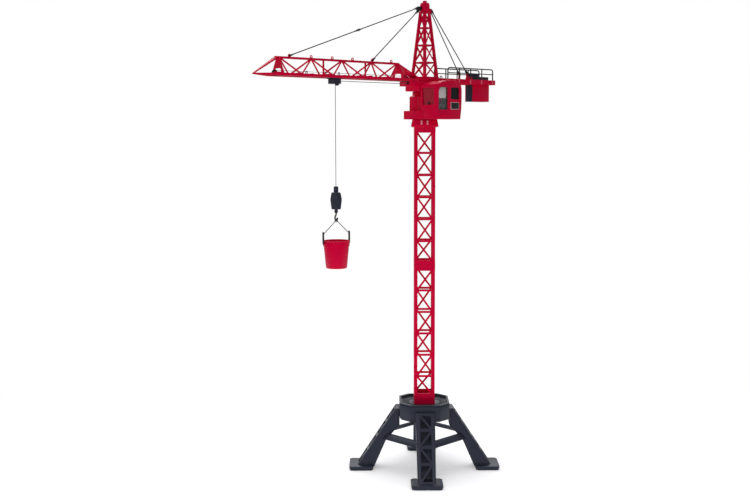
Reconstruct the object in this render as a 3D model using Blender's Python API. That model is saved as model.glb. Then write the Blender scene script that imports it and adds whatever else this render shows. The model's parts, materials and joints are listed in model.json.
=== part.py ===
"""Toy tower crane, 1.2 m tall, in metres with +Z up.

The origin lies on the floor at the centre of the crane's bounding box. The tower axis stands at
x = TOWER_X, the jib points along -X and the counter-jib along +X. The base and the mast are turned
about the tower axis by SLEW_AT_REST, because the crane rests with its jib slewed.
"""

import math

import bmesh
import bpy
from mathutils import Matrix, Vector

# ---------------------------------------------------------------- driving dimensions
HEIGHT = 1.200
JIB_REACH = 0.530  # tower axis to the jib's point
COUNTER_REACH = 0.238  # tower axis to the end of the counter-jib
TOWER_X = (JIB_REACH - COUNTER_REACH) / 2
SLEW_AT_REST = math.radians(42)
GAP = 0.0003  # between neighbouring pieces

FOOT_RADIUS = 0.1952  # tower axis to the outer edge of a foot
FOOT_LENGTH = 0.0625
FOOT_WIDTH = 0.0790
FOOT_HEIGHT = 0.0105
LEG_TOP = 0.1610
LEG_TOP_RADIUS = 0.0745
LEG_FLOOR = 0.0052
LEG_FLOOR_RADIUS = 0.1770
LEG_WIDTH_TOP = 0.0500
LEG_WIDTH_FLOOR = 0.0443
LEG_CHAMFER = 0.0038
BRACE_LOW = (0.1352, 0.0807)  # a brace's lower edge: sum of its two coordinates, and height
BRACE_HIGH = (0.1197, 0.0956)
BRACE_THICK = 0.0060
HUB_HALF = 0.0640
HUB_CORNER = 0.0250
HUB_BOTTOM = 0.1385
HUB_TOP = 0.1745
RIM_BOTTOM = 0.1760
RIM_TOP = 0.1795
DISH_FLOOR = 0.1728

MAST_HALF = 0.0263
MAST_CHORD = 0.0080
MAST_JOINT = 0.5370
MAST_TOP = 0.8844
CELL_PITCH = 0.0559
RUNG_HEIGHT = 0.0052

COLLAR_TOP = 0.9043
PLATFORM_TOP = 0.9263
PLATFORM_HALF = 0.0375
HOUSING_HALF = 0.0274
HOUSING_TOP = 0.9745
WINCH_TOP = 0.9982
DECK_TOP = 1.0085
DECK_HALF = 0.0260

CATHEAD_FOOT_HALF = 0.0248
CATHEAD_TOP_HALF = 0.0104
CATHEAD_TOP = 1.1730
CAP_HALF = 0.0104

CHORD_BOTTOM = 0.9985  # underside of the jib's two lower chords
CHORD_TOP = 1.0050
JIB_TOP = 1.0425
JIB_HALF = 0.0253
POINT_LOW = 1.0004  # underside and top of the jib's sharp point
POINT_HIGH = 1.0034
PANEL = 0.0922  # spacing of the jib's upper nodes
FIRST_APEX = 0.0894
ROOT_APEX = 0.0960  # the node next to the root and the feet beside it stand a little further out
ROOT_FOOT = 0.1405
EYE_SPACING = 0.0627
FIRST_EYE = 0.1153

TROLLEY_AT = 0.2965  # tower axis to the middle of the trolley
FALL_AT = 0.2945  # tower axis to the hoist rope's fall
ROPE_RADIUS = 0.0007
SHEAVE_RADIUS = 0.0045
RUN_HEIGHT = 0.9925  # rope run under the jib
LOOP_RADIUS = 0.0056  # trolley rope round the tip pulley
TIP_PULLEY_AT = 0.4710
TIP_PULLEY_Z = 1.0053

DRUM_X = (-0.0085, 0.0125)  # trolley drum and hoist drum
DRUM_Z = 0.9862
DRUM_RADIUS = 0.0050
WINDOW_AT = -0.0460  # where the trolley rope bends over the edge of its window

HOOK_BLOCK_TOP = 0.7455
HOOK_BLOCK_FLOOR = 0.6908
HOOK_ROD_Z = 0.6645
HOOK_YAW = math.radians(-12)
BUCKET_PIVOT_Z = 0.6115
BUCKET_RIM = 0.6165
BUCKET_FLOOR = 0.5504

GEAR_TEETH = 32
PINION_TEETH = 8
GEAR_MODULE = 0.0010


# ---------------------------------------------------------------- shapes
def loft(rings, closed=False):
    """A solid skinned over rings of points. Its ends are filled, or joined to each other when closed."""
    bm = bmesh.new()
    loops = [[bm.verts.new(point) for point in ring] for ring in rings]
    following = loops[1:] + (loops[:1] if closed else [])
    for here, there in zip(loops, following):
        for i in range(len(here)):
            j = (i + 1) % len(here)
            bm.faces.new((here[i], here[j], there[j], there[i]))
    if not closed:
        bm.faces.new(loops[0][::-1])
        bm.faces.new(loops[-1])
    bmesh.ops.recalc_face_normals(bm, faces=bm.faces)
    return bm


def on_axis(axis, a, b, along):
    """The point with coordinates a and b across an axis and along on it."""
    return {"x": (along, a, b), "y": (a, along, b), "z": (a, b, along)}[axis]


def prism(outline, axis, low, high):
    """An outline of (a, b) points pushed from low to high along an axis."""
    return loft([[on_axis(axis, a, b, along) for a, b in outline] for along in (low, high)])


def box(low, high):
    """A box between two opposite corners."""
    corners = [(low[0], low[1]), (high[0], low[1]), (high[0], high[1]), (low[0], high[1])]
    return prism(corners, "z", low[2], high[2])


def bar(start, end, width, depth, facing):
    """A rectangular beam from start to end, whose depth lies towards facing."""
    start, end = Vector(start), Vector(end)
    run = (end - start).normalized()
    across = run.cross(Vector(facing)).normalized()
    out = across.cross(run)
    corners = [
        across * (i * width / 2) + out * (j * depth / 2)
        for i, j in ((-1, -1), (1, -1), (1, 1), (-1, 1))
    ]
    return loft([[start + c for c in corners], [end + c for c in corners]])


def turned(profile, centre, axis="z", sides=24, ring=False):
    """A solid of revolution. profile lists (radius, distance along the axis) from the centre."""
    rings = []
    for radius, along in profile:
        circle = []
        for k in range(sides):
            turn = math.tau * k / sides
            point = on_axis(axis, radius * math.cos(turn), radius * math.sin(turn), along)
            circle.append(Vector(centre) + Vector(point))
        rings.append(circle)
    return loft(rings, closed=ring)


def rod(start, end, radius):
    """A round rod between two points."""
    return tube([Vector(start), Vector(end)], radius, 10)


def tube(path, radius, sides=8):
    """A round tube that follows a path of points."""
    path = [Vector(p) for p in path]
    tangents = []
    for i in range(len(path)):
        before, after = path[max(i - 1, 0)], path[min(i + 1, len(path) - 1)]
        tangents.append((after - before).normalized())
    side = tangents[0].orthogonal().normalized()
    rings = []
    for i, (point, tangent) in enumerate(zip(path, tangents)):
        if i:
            side = tangents[i - 1].rotation_difference(tangent) @ side
        other = tangent.cross(side)
        rings.append(
            [
                point + side * radius * math.cos(math.tau * k / sides)
                + other * radius * math.sin(math.tau * k / sides)
                for k in range(sides)
            ]
        )
    return loft(rings)


def square_ring(half, wall, low, high):
    """A square ring round the tower axis: outer half width, wall thickness, and its heights."""
    rings = []
    for a, b in ((-1, -1), (1, -1), (1, 1), (-1, 1)):
        rings.append(
            [
                (a * half, b * half, low),
                (a * half, b * half, high),
                (a * (half - wall), b * (half - wall), high),
                (a * (half - wall), b * (half - wall), low),
            ]
        )
    return loft(rings, closed=True)


def ring_eye(centre, radius, wire, sides=12, wire_sides=6):
    """A wire eye in the XZ plane."""
    profile = [
        (
            radius + wire * math.cos(math.tau * k / wire_sides),
            wire * math.sin(math.tau * k / wire_sides),
        )
        for k in range(wire_sides)
    ]
    return turned(profile, centre, axis="y", sides=sides, ring=True)


def cropped_square(half, corner):
    """A square outline with its corners cut off."""
    near = half - corner
    return [
        (half, -near), (half, near), (near, half), (-near, half),
        (-half, near), (-half, -near), (-near, -half), (near, -half),
    ]  # fmt: skip


def arc(centre, radius, start, end, steps):
    """Points along an arc, in degrees from start to end."""
    points = []
    for k in range(steps + 1):
        turn = math.radians(start + (end - start) * k / steps)
        points.append((centre[0] + radius * math.cos(turn), centre[1] + radius * math.sin(turn)))
    return points


def gear_outline(teeth, module):
    """A spur gear's outline with straight-sided teeth, four points to a tooth."""
    pitch_radius = teeth * module / 2
    outer, root = pitch_radius + 0.8 * module, pitch_radius - 1.2 * module
    outline = []
    for k in range(teeth):
        for share, radius in ((-0.23, root), (-0.10, outer), (0.10, outer), (0.23, root)):
            turn = math.tau * (k + share) / teeth
            outline.append((radius * math.cos(turn), radius * math.sin(turn)))
    return outline


# ---------------------------------------------------------------- scene helpers
def clear_scene():
    for obj in list(bpy.data.objects):
        bpy.data.objects.remove(obj)


def material(name, colour, roughness, metallic=0.0):
    made = bpy.data.materials.new(name)
    made.use_nodes = True
    shader = made.node_tree.nodes["Principled BSDF"]
    shader.inputs["Base Color"].default_value = (*colour, 1.0)
    shader.inputs["Roughness"].default_value = roughness
    shader.inputs["Metallic"].default_value = metallic
    made.diffuse_color = (*colour, 1.0)
    return made


def frame(name, parent=None, location=(0, 0, 0), turn=0.0):
    """An empty that carries one moving body."""
    empty = bpy.data.objects.new(name, None)
    bpy.context.scene.collection.objects.link(empty)
    empty.parent = parent
    empty.location = location
    empty.rotation_euler = (0, 0, turn)
    return empty


def mesh_object(name, bodies, parent, origin):
    """Bodies joined in one mesh whose object stands at origin, in its parent's coordinates."""
    mesh = bpy.data.meshes.new(name)
    joined = bmesh.new()
    for body in bodies:
        piece = bpy.data.meshes.new("piece")
        body.to_mesh(piece)
        body.free()
        joined.from_mesh(piece)
        bpy.data.meshes.remove(piece)
    bmesh.ops.translate(joined, verts=joined.verts, vec=-Vector(origin))
    joined.to_mesh(mesh)
    joined.free()
    obj = bpy.data.objects.new(name, mesh)
    bpy.context.scene.collection.objects.link(obj)
    obj.parent = parent
    obj.location = origin
    return obj


def combine(obj, bodies, operation, origin):
    """A Boolean with a hidden helper that holds the bodies."""
    helper = mesh_object(f"{obj.name}_{operation.lower()}", bodies, obj.parent, origin)
    helper.hide_render = True
    helper.display_type = "WIRE"
    modifier = obj.modifiers.new(operation.title(), "BOOLEAN")
    modifier.operation = operation
    modifier.solver = "EXACT"
    modifier.use_self = len(bodies) > 1
    modifier.object = helper


def make(name, surface, parent, solids, cuts=(), origin=(0, 0, 0), smooth=None):
    """One sub-part: its solids united, less its cuts. smooth is the angle that stays shaded round."""
    obj = mesh_object(name, solids[:1], parent, origin)
    if solids[1:]:
        combine(obj, solids[1:], "UNION", origin)
    if cuts:
        combine(obj, list(cuts), "DIFFERENCE", origin)
    obj.data.materials.append(surface)
    if smooth:
        obj.data.shade_smooth()
        obj.data.set_sharp_from_angle(angle=math.radians(smooth))
    return obj


# ---------------------------------------------------------------- base
def leg_outline(inset, back):
    """A leg seen from the side, as (distance from the tower axis, height)."""
    return [
        (HUB_HALF + GAP + inset, LEG_TOP - inset),
        (LEG_TOP_RADIUS - inset * 0.54 - back, LEG_TOP - inset),
        (LEG_FLOOR_RADIUS - inset * 1.85 - back, LEG_FLOOR + inset),
        (0.1312 + inset * 0.66, LEG_FLOOR + inset),
        (0.0990 + inset * 0.85, 0.0790 + inset * 0.55),
        (HUB_HALF + GAP + inset, 0.1180 + inset * 0.38),
    ]


def leg_half_width(height, wall):
    share = (LEG_TOP - height) / LEG_TOP
    return (LEG_WIDTH_TOP + (LEG_WIDTH_FLOOR - LEG_WIDTH_TOP) * share) / 2 - wall


def leg_body(inset=0.0):
    """The leg's wedge, narrower at the floor, its outer face chamfered. inset gives the hollow inside."""
    rings = []
    for side, crop, back in ((-1, 0, 0.0036), (-1, LEG_CHAMFER, 0), (1, LEG_CHAMFER, 0), (1, 0, 0.0036)):
        ring = []
        for r, z in leg_outline(inset, back):
            ring.append((side * (leg_half_width(z, inset) - crop), -r, z))
        rings.append(ring)
    return loft(rings)


def leg_windows():
    """Two three-cornered holes in each of the leg's four cells, with a slanting bar between them."""
    fall = Vector((0, LEG_TOP_RADIUS - LEG_FLOOR_RADIUS, LEG_FLOOR - LEG_TOP))
    slope = fall.normalized()
    out = Vector((0, slope.z, -slope.y)).normalized()
    start = Vector((0, -LEG_TOP_RADIUS, LEG_TOP))
    cells = [(0.1557, 0.1275), (0.1205, 0.0907), (0.0836, 0.0537), (0.0476, 0.0138)]
    half, slant = 0.0135, 0.0036
    windows = []
    for k, (upper, lower) in enumerate(cells):
        a = (upper - LEG_TOP) / slope.z
        b = (lower - LEG_TOP) / slope.z
        hand = -1 if k % 2 else 1
        corners = [
            [(-half, a), (half - slant, a), (-half, b - slant * 1.3)],
            [(half, b), (-half + slant, b), (half, a + slant * 1.3)],
        ]
        for triangle in corners:
            face = [start + slope * along + Vector((-hand * side, 0, 0)) for side, along in triangle]
            windows.append(loft([[p - out * 0.004 for p in face], [p + out * 0.004 for p in face]]))
    return windows


def foot_pad():
    """The foot: a broad slab with round outer corners on a slightly smaller sole."""
    inner = FOOT_RADIUS - FOOT_LENGTH
    half, crop = FOOT_WIDTH / 2, 0.0060

    def slab(shrink, low, high):
        near, side, corner = inner + shrink, half - shrink, 0.0090 - shrink
        far = -(FOOT_RADIUS - shrink) + corner
        outline = [
            (-side + crop, -near),
            (-side, -near - crop),
            *arc((-side + corner, far), corner, 180, 270, 4),
            *arc((side - corner, far), corner, 270, 360, 4),
            (side, -near - crop),
            (side - crop, -near),
        ]
        return prism(outline, "z", low, high)

    return [slab(0.0, 0.0040, FOOT_HEIGHT), slab(0.0012, 0.0, 0.0045)]


def brace(parent, charcoal, name):
    """A slanted plate across the corner between two neighbouring legs, cut off along their inner faces."""
    end = 0.0200
    rings = []
    for reach, height in (BRACE_LOW, BRACE_HIGH):
        inner = reach - BRACE_THICK
        ring = [(end, end - reach), (reach - end, -end), (inner - end, -end), (end, end - inner)]
        rings.append([(x, y, height) for x, y in ring])
    neighbour = leg_body(-GAP)
    quarter = Matrix.Rotation(math.pi / 2, 3, "Z")
    bmesh.ops.rotate(neighbour, verts=neighbour.verts, cent=(0, 0, 0), matrix=quarter)
    make(f"brace_{name}", charcoal, parent, [loft(rings)], [leg_body(-GAP), neighbour])


def build_base(parent, charcoal):
    wall = 0.0028
    within = HUB_HALF - wall
    make(
        "base_hub",
        charcoal,
        parent,
        [prism(cropped_square(HUB_HALF, HUB_CORNER), "z", HUB_BOTTOM, HUB_TOP)],
        [prism(cropped_square(within, HUB_CORNER - 0.001), "z", HUB_BOTTOM - 0.001, HUB_TOP + 0.001)],
    )
    make(
        "hub_top_plate",
        charcoal,
        parent,
        [
            prism(cropped_square(HUB_HALF, HUB_CORNER), "z", RIM_BOTTOM, RIM_TOP),
            prism(cropped_square(0.0625, 0.0247), "z", HUB_TOP + GAP, RIM_BOTTOM + 0.0005),
            prism(cropped_square(within - GAP * 2, 0.0245), "z", DISH_FLOOR - 0.0026, RIM_BOTTOM),
        ],
        [prism(cropped_square(0.0585, 0.0240), "z", DISH_FLOOR, RIM_TOP + 0.001)],
    )
    make(
        "hub_bottom_cover",
        charcoal,
        parent,
        [
            prism(cropped_square(HUB_HALF - 0.003, HUB_CORNER - 0.001), "z", 0.1350, HUB_BOTTOM - GAP),
            prism(cropped_square(within - GAP * 2, HUB_CORNER), "z", 0.1362, 0.1415),
        ],
    )
    for k, side in enumerate(("front", "right", "rear", "left")):
        turned_frame = frame(f"leg_frame_{side}", parent, turn=k * math.pi / 2)
        make(
            f"leg_{side}",
            charcoal,
            turned_frame,
            [leg_body(), *foot_pad()],
            [leg_body(0.0026), *leg_windows()],
        )
    for k, name in enumerate(("front_right", "rear_right", "rear_left", "front_left")):
        brace(frame(f"brace_frame_{name}", parent, turn=k * math.pi / 2), charcoal, name)


# ---------------------------------------------------------------- mast
def on_face(side, across, out, height):
    """A point of one of the tower's four faces."""
    return Matrix.Rotation(side * math.pi / 2, 3, "Z") @ Vector((across, -out, height))


def mast_section(name, surface, parent, bottom, top, foot_band, head_band, first_rung, slant):
    """One square lattice section: chords, end bands, rungs and one slanting bar to a cell."""
    middle = MAST_HALF - MAST_CHORD / 2
    solids = []
    for side in range(4):
        solids.append(
            bar(
                on_face(side, middle, middle, bottom),
                on_face(side, middle, middle, top),
                MAST_CHORD,
                MAST_CHORD,
                on_face(side, 0, 1, 0),
            )
        )
    proud = MAST_HALF + GAP
    solids.append(square_ring(proud, 0.0033, bottom, foot_band))
    solids.append(square_ring(proud, 0.0033, head_band, top))
    levels = [head_band]
    for k in range(5):
        rung_top = first_rung - k * CELL_PITCH
        solids.append(
            square_ring(MAST_HALF - 0.0008, 0.0040, rung_top - RUNG_HEIGHT, rung_top)
        )
        levels += [rung_top, rung_top - RUNG_HEIGHT]
    levels.append(foot_band)
    inner = MAST_HALF - MAST_CHORD
    for k in range(6):
        upper, lower = levels[2 * k] + 0.0006, levels[2 * k + 1] - 0.0006
        hand = slant if k % 2 == 0 else -slant
        for side in range(4):
            out = MAST_HALF - 0.0028
            solids.append(
                bar(
                    on_face(side, -hand * inner, out, lower),
                    on_face(side, hand * inner, out, upper),
                    0.0048,
                    0.0031,
                    on_face(side, 0, 1, 0),
                )
            )
    make(name, surface, parent, solids)


def build_mast(parent, red):
    mast_section("mast_lower", red, parent, DISH_FLOOR + GAP, MAST_JOINT, 0.2013, 0.5206, 0.4726, 1)
    mast_section("mast_upper", red, parent, MAST_JOINT + GAP, MAST_TOP, 0.5478, 0.8712, 0.8228, 1)
    flare = [
        [(a, b, z) for a, b in cropped_square(half, 0.0045)]
        for half, z in ((0.0300, MAST_TOP + GAP), (0.0337, 0.8870), (0.0337, 0.8900), (0.0308, COLLAR_TOP))
    ]
    spindle = [(0.0080, 0.9000), (0.0080, 0.9290), (0.0072, 0.9300)]
    make(
        "mast_collar",
        red,
        parent,
        [loft(flare), turned(spindle, (0, 0, 0), sides=20)],
    )
    ring_low = COLLAR_TOP + GAP
    make(
        "slew_ring_gear",
        SURFACES["ivory"],
        parent,
        [prism(gear_outline(GEAR_TEETH, GEAR_MODULE), "z", ring_low, ring_low + 0.0065)],
        [turned([(0.0083, ring_low - 0.001), (0.0083, ring_low + 0.008)], (0, 0, 0), sides=20)],
    )


# ---------------------------------------------------------------- tower head
def build_head(parent, red, pinion_at):
    wall = 0.0030
    inner = PLATFORM_HALF - wall
    ceiling = PLATFORM_TOP - wall
    floor = COLLAR_TOP + 0.0006
    make(
        "slew_platform",
        red,
        parent,
        [box((-PLATFORM_HALF, -PLATFORM_HALF, floor), (PLATFORM_HALF, PLATFORM_HALF, PLATFORM_TOP))],
        [
            box((-inner, -inner, floor - 0.001), (inner, inner, ceiling)),
            turned([(0.0084, ceiling - 0.001), (0.0084, PLATFORM_TOP + 0.001)], (0, 0, 0), sides=20),
            turned([(0.0016, ceiling - 0.001), (0.0016, PLATFORM_TOP + 0.001)], (*pinion_at, 0), sides=12),
        ],
    )
    half, bottom = HOUSING_HALF, PLATFORM_TOP + GAP
    outline = [
        (-half, bottom), (half, bottom), (half, HOUSING_TOP), (-0.0172, HOUSING_TOP),
        (-0.0172, 0.9665), (-half, 0.9615),
    ]  # fmt: skip
    skin = 0.0024
    hollow = [
        (-half + skin, bottom - 0.001), (half - skin, bottom - 0.001), (half - skin, HOUSING_TOP + 0.001),
        (-0.0172 + skin, HOUSING_TOP + 0.001), (-0.0172 + skin, 0.9650), (-half + skin, 0.9600),
    ]  # fmt: skip
    for name, sign in (("near", -1), ("far", 1)):
        outer = sorted((sign * GAP / 2, sign * half))
        inside = sorted((-sign * 0.001, sign * (half - skin)))
        make(
            f"head_housing_{name}",
            red,
            parent,
            [prism(outline, "y", *outer)],
            [prism(hollow, "y", *inside)],
        )
    low, mid, top = HOUSING_TOP + GAP, 0.9867, WINCH_TOP
    back = 0.0300
    outline = [
        (-0.0627, mid), (-0.0423, mid), (-0.0423, low), (back, low), (back, top), (-0.0627, top),
    ]  # fmt: skip
    hollow = [
        (-0.0600, mid + skin), (-0.0399, mid + skin), (-0.0399, low + skin), (back - skin, low + skin),
        (back - skin, top + 0.001), (-0.0600, top + 0.001),
    ]  # fmt: skip
    side = DECK_HALF
    make(
        "winch_housing",
        red,
        parent,
        [prism(outline, "y", -side, side)],
        [
            prism(hollow, "y", -side + skin, side - skin),
            box((-0.0640, -0.0085, 0.9905), (-0.0590, 0.0022, WINCH_TOP + 0.001)),
            *[turned([(0.0018, -0.03), (0.0018, 0.03)], (x, 0, DRUM_Z), axis="y", sides=14) for x in DRUM_X],
        ],
    )


def motor(centre, axis, length, shaft_end):
    """A small can motor along an axis. Its shaft ends at shaft_end, measured from the centre."""
    radius, shaft_radius = 0.0070, 0.0010
    return [
        turned([(radius, 0), (radius, length)], centre, axis=axis, sides=16),
        turned([(shaft_radius, length / 2), (shaft_radius, shaft_end)], centre, axis=axis, sides=8),
    ]


def build_drives(parent, steel, ivory, black, pinion_at):
    """The three motors inside the head, and the slewing pinion and two rope drums that they turn."""
    x, y = pinion_at
    make("slew_motor", steel, parent, motor((x, y, PLATFORM_TOP + 2 * GAP), "z", 0.0190, -0.0014), smooth=30)
    make("hoist_motor", steel, parent, motor((-0.0120, -0.0225, 0.9490), "y", 0.0190, 0.0205), smooth=30)
    make("trolley_motor", steel, parent, motor((-0.0120, 0.0225, 0.9490), "y", -0.0190, -0.0205), smooth=30)

    mesh_turn = math.atan2(y, x) + math.pi + math.pi / PINION_TEETH
    low = COLLAR_TOP + 0.0016
    pinion_frame = frame("slew_pinion_axis", parent, (x, y, 0), mesh_turn)
    make(
        "slew_pinion",
        ivory,
        pinion_frame,
        [
            prism(gear_outline(PINION_TEETH, GEAR_MODULE), "z", low, low + 0.0055),
            turned([(0.0012, low + 0.005), (0.0012, PLATFORM_TOP - 0.0011)], (0, 0, 0), sides=12),
        ],
    )
    core, flange, reach = DRUM_RADIUS, 0.0080, 0.0105
    spool = [
        (0.0015, -0.0250), (0.0015, -reach - 0.0012), (flange, -reach - 0.0012), (flange, -reach),
        (core, -reach),
        (core, reach), (flange, reach), (flange, reach + 0.0012), (0.0015, reach + 0.0012), (0.0015, 0.0250),
    ]  # fmt: skip
    for name, x in (("trolley_drum", DRUM_X[0]), ("hoist_drum", DRUM_X[1])):
        centre = (x, 0, DRUM_Z)
        make(name, black, parent, [turned(spool, centre, axis="y", sides=20)], origin=centre, smooth=30)


# ---------------------------------------------------------------- cab
CAB_FRONT, CAB_BACK = -0.0418, 0.0455
CAB_NEAR, CAB_FAR = -0.0860, -0.0286
CAB_FLOOR, CAB_ROOF = 0.9045, 1.0003
CAB_WALL = 0.0024


def cab_outline(inset=0.0):
    """The cab from the side, with an arched roof, as (x, z)."""
    front, back = CAB_FRONT + inset, CAB_BACK - inset
    roof = CAB_ROOF - inset
    return [
        (front, CAB_FLOOR + inset), (back - 0.0045, CAB_FLOOR + inset), (back - 0.0010, 0.9300),
        (back, 0.9550), (back, 0.9760), (back - 0.0020, roof - 0.0130), (back - 0.0075, roof - 0.0050),
        (back - 0.0170, roof - 0.0007), (0.0060, roof), (-0.0120, roof - 0.0016),
        (-0.0290, roof - 0.0062), (front, roof - 0.0105),
    ]  # fmt: skip


def arched_window(x0, x1, z0, z1, left_radius, right_radius, grow=0.0):
    """A window outline with two round upper corners, made larger all round by grow."""
    x0, x1, z0, z1 = x0 - grow, x1 + grow, z0 - grow, z1 + grow
    left = arc((x0 + left_radius, z1 - left_radius), left_radius, 180, 90, 5)
    right = arc((x1 - right_radius, z1 - right_radius), right_radius, 90, 0, 4)
    return [(x0, z0), *left, *right, (x1, z0)]


def build_cab(parent, red, clear, black):
    arch = (-0.0363, -0.0050, 0.9280, 0.9835, 0.0130, 0.0060)
    rear = [(0.0069, 0.9536), (0.0351, 0.9536), (0.0351, 0.9825), (0.0069, 0.9825)]
    front = [(-0.0760, 0.9400), (-0.0350, 0.9400), (-0.0330, 0.9815), (-0.0735, 0.9815)]
    outside, inside = CAB_NEAR - 0.001, CAB_NEAR + CAB_WALL + 0.001
    notch = (PLATFORM_HALF + 2 * GAP, PLATFORM_TOP + 2 * GAP)
    room = [(x, max(z, notch[1] + CAB_WALL)) for x, z in cab_outline(CAB_WALL)]
    well = [(x, z if z > CAB_FLOOR + 2 * CAB_WALL else CAB_FLOOR - 0.001) for x, z in cab_outline(CAB_WALL)]
    cuts = [
        prism(well, "y", CAB_NEAR + CAB_WALL, -notch[0] - CAB_WALL),
        prism(room, "y", -notch[0] - CAB_WALL - 0.001, CAB_FAR - CAB_WALL),
        box((-0.0500, -notch[0], CAB_FLOOR - 0.001), (0.0500, CAB_FAR + 0.001, notch[1])),
        prism(arched_window(*arch), "y", outside, inside),
        prism(rear, "y", outside, inside),
        prism(front, "x", CAB_FRONT - 0.001, CAB_FRONT + CAB_WALL + 0.001),
    ]
    make("cab_shell", red, parent, [prism(cab_outline(), "y", CAB_NEAR, CAB_FAR)], cuts)
    edge = CAB_WALL + GAP
    make("cab_floor", red, parent, [
        box((CAB_FRONT + edge, CAB_NEAR + edge, CAB_FLOOR + 0.0004),
            (CAB_BACK - 0.0045 - CAB_WALL - GAP, -notch[0] - edge, CAB_FLOOR + CAB_WALL))
    ])  # fmt: skip

    pane, lap = 0.0010, 0.0012
    behind = CAB_NEAR + CAB_WALL + GAP
    make(
        "cab_side_window", clear, parent,
        [prism(arched_window(*arch, grow=lap), "y", behind, behind + pane)],
    )  # fmt: skip
    grown = [(0.0069 - lap, 0.9536 - lap), (0.0351 + lap, 0.9536 - lap),
             (0.0351 + lap, 0.9825 + lap), (0.0069 - lap, 0.9825 + lap)]  # fmt: skip
    make("cab_rear_window", black, parent, [prism(grown, "y", behind, behind + pane)])
    behind = CAB_FRONT + CAB_WALL + GAP
    widened = [(-0.0772, 0.9388), (-0.0338, 0.9388), (-0.0318, 0.9827), (-0.0747, 0.9827)]
    make("cab_front_window", clear, parent, [prism(widened, "x", behind, behind + pane)])

    floor = CAB_FLOOR + CAB_WALL + GAP
    middle = -0.0620
    seat = [
        (-0.0030, floor), (0.0110, floor), (0.0110, 0.9190), (0.0190, 0.9200), (0.0240, 0.9560),
        (0.0190, 0.9570), (0.0140, 0.9270), (-0.0060, 0.9265), (-0.0060, 0.9200), (-0.0030, 0.9190),
    ]  # fmt: skip
    make("cab_seat", black, parent, [prism(seat, "y", middle - 0.0130, middle + 0.0130)])


# ---------------------------------------------------------------- cathead
def cathead_half(height):
    share = (height - DECK_TOP) / (CATHEAD_TOP - DECK_TOP)
    return CATHEAD_FOOT_HALF + (CATHEAD_TOP_HALF - CATHEAD_FOOT_HALF) * share


def build_cathead(parent, red, black):
    """The tapering four-post peak with crossed bars in every panel, and its cap."""
    post, foot = 0.0059, DECK_TOP + GAP
    solids = []
    for side in range(4):
        low = cathead_half(foot) - post / 2
        high = cathead_half(CATHEAD_TOP) - post / 2
        solids.append(
            bar(
                on_face(side, low, low, foot + 0.0012),
                on_face(side, high, high, CATHEAD_TOP - 0.0012),
                post,
                post,
                on_face(side, 0, 1, 0),
            )
        )
    solids.append(square_ring(cathead_half(foot) + 0.0004, 0.0050, foot, foot + 0.0022))
    solids.append(square_ring(cathead_half(CATHEAD_TOP) + 0.0003, 0.0050, CATHEAD_TOP - 0.0040, CATHEAD_TOP))
    levels = [CATHEAD_TOP - 0.0030, 1.1325, 1.0895, 1.0465, foot + 0.0012]
    for level in levels[1:4]:
        solids.append(square_ring(cathead_half(level) - 0.0007, 0.0030, level - 0.0018, level + 0.0018))
    for upper, lower in zip(levels, levels[1:]):
        for side in range(4):
            for hand, inward in ((1, 0.0018), (-1, 0.0030)):
                wide, narrow = cathead_half(lower), cathead_half(upper)
                solids.append(
                    bar(
                        on_face(side, -hand * (wide - post * 0.6), wide - inward, lower),
                        on_face(side, hand * (narrow - post * 0.6), narrow - inward, upper),
                        0.0026,
                        0.0021,
                        on_face(side, 0, 1, 0),
                    )
                )
    make("cathead", red, parent, solids)

    cap_floor = CATHEAD_TOP + GAP
    sections = [
        (CAP_HALF, cap_floor), (CAP_HALF, 1.1880), (0.0088, 1.1946), (0.0046, 1.1952), (0.0042, HEIGHT),
    ]  # fmt: skip
    cap = loft([[(a, b, z) for a, b in cropped_square(half, half * 0.35)] for half, z in sections])
    lug = [(0.0080, 1.1760), (0.0255, 1.1715), (0.0270, 1.1760), (0.0245, 1.1810), (0.0080, 1.1840)]
    pin = turned([(0.0012, -0.0050), (0.0012, 0.0050)], REAR_PIN, axis="y", sides=10)
    make("cathead_cap", red, parent, [cap, prism(lug, "y", -0.0015, 0.0015), pin])
    lug = [
        (-CAP_HALF - GAP, 1.1775), (-CAP_HALF - GAP, 1.1845), (-0.0250, 1.1845), (-0.0298, 1.1815),
        (-0.0290, 1.1770), (-0.0268, 1.1710), (-0.0225, 1.1695), (-0.0200, 1.1725),
    ]  # fmt: skip
    holes = [
        turned([(0.0015, -0.003), (0.0015, 0.003)], pin_at, axis="y", sides=10)
        for pin_at in (LONG_PIN, SHORT_PIN)
    ]
    make("stay_lug_front", black, parent, [prism(lug, "y", -0.0015, 0.0015)], holes)


# ---------------------------------------------------------------- stays
LONG_PIN = (-0.0262, 0, 1.1802)
SHORT_PIN = (-0.0238, 0, 1.1735)
REAR_PIN = (0.0222, 0, 1.1763)
EYE_Z = 1.0450
ANCHOR = (0.1420, 0.0143, 1.0225)
STAY_RADIUS = 0.0013


def fork(pin_at, towards):
    """Two cheeks and their pin, and where the rod leaves them. The cheeks lie in the XZ plane."""
    pin_at = Vector(pin_at)
    away = Vector(towards) - pin_at
    away.y = 0
    away.normalize()
    across = Vector((0, 1, 0)).cross(away)
    length, round_half, neck_half = 0.0080, 0.0024, 0.0013
    bodies = []
    for side in (-1, 1):
        outline = [
            pin_at - away * round_half + across * 0.0012, pin_at + across * round_half,
            pin_at + away * length + across * neck_half, pin_at + away * length - across * neck_half,
            pin_at - across * round_half, pin_at - away * round_half - across * 0.0012,
        ]  # fmt: skip
        near, far = Vector((0, side * 0.0019, 0)), Vector((0, side * 0.0029, 0))
        bodies.append(loft([[p + near for p in outline], [p + far for p in outline]]))
    bodies.append(
        turned([(0.0010, -0.0025), (0.0010, 0.0025)], pin_at, axis="y", sides=8)
    )
    root = pin_at + away * length
    bodies.append(bar(root - away * 0.0022, root + away * 0.0022, 0.0058, 0.0030, across))
    return bodies, root


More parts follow.
